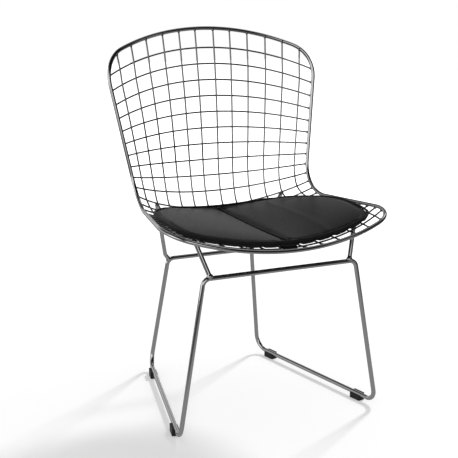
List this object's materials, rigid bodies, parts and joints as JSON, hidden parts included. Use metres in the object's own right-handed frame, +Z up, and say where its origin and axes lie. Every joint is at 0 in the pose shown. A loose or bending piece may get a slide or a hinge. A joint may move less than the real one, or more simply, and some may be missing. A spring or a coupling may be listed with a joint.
{
  "type": "wire mesh chair",
  "caption": "Armless dining chair: a welded wire mesh shell in a bent rim rod, on a closed sled base of bent rod with floor glides, with a thin lift-off seat pad.",
  "frame": {"origin": "on the floor, under the middle of the overall bounding box", "axes": "+Z up, -Y towards the front edge of the seat, +X to the right of someone who faces the front of the chair"},
  "size_m": [0.4986, 0.4739, 0.7984],
  "materials": {
    "chrome_rod": "polished",
    "glide_plastic": "matte",
    "strap_vinyl": "satin",
    "pad_vinyl": "satin",
    "pad_filling": "matte",
    "stud_metal": "polished"
  },
  "bodies": {
    "chair_frame": {"rim_rod": "chrome_rod", "cross_wire_1": "chrome_rod", "cross_wire_2": "chrome_rod", "cross_wire_3": "chrome_rod", "cross_wire_4": "chrome_rod", "cross_wire_5": "chrome_rod", "cross_wire_6": "chrome_rod", "cross_wire_7": "chrome_rod", "cross_wire_8": "chrome_rod", "cross_wire_9": "chrome_rod", "cross_wire_10": "chrome_rod", "cross_wire_11": "chrome_rod", "cross_wire_12": "chrome_rod", "cross_wire_13": "chrome_rod", "cross_wire_14": "chrome_rod", "cross_wire_15": "chrome_rod", "cross_wire_16": "chrome_rod", "cross_wire_17": "chrome_rod", "cross_wire_18": "chrome_rod", "cross_wire_19": "chrome_rod", "cross_wire_20": "chrome_rod", "cross_wire_21": "chrome_rod", "cross_wire_22": "chrome_rod", "long_wire_1": "chrome_rod", "long_wire_2": "chrome_rod", "long_wire_3": "chrome_rod", "long_wire_4": "chrome_rod", "long_wire_5": "chrome_rod", "long_wire_6": "chrome_rod", "long_wire_7": "chrome_rod", "long_wire_8": "chrome_rod", "long_wire_9": "chrome_rod", "long_wire_10": "chrome_rod", "long_wire_11": "chrome_rod", "long_wire_12": "chrome_rod", "base_rod": "chrome_rod", "front_right_strut": "chrome_rod", "front_left_strut": "chrome_rod", "rear_right_strut": "chrome_rod", "rear_left_strut": "chrome_rod", "front_right_glide": "glide_plastic", "front_left_glide": "glide_plastic", "rear_right_glide": "glide_plastic", "rear_left_glide": "glide_plastic", "front_strap": "strap_vinyl", "rear_strap": "strap_vinyl", "strap_studs": "stud_metal"},
    "seat_pad": {"pad_foam": "pad_filling", "pad_cover": "pad_vinyl", "pad_edge_piping": "pad_vinyl", "pad_centre_welt": "pad_vinyl", "pad_sockets": "stud_metal"}
  },
  "joints": [
    {"name": "seat_pad_lift", "type": "slide", "parent": "chair_frame", "child": "seat_pad", "axis": [0, 0, 1], "range_m": [0, 0.15]}
  ]
}
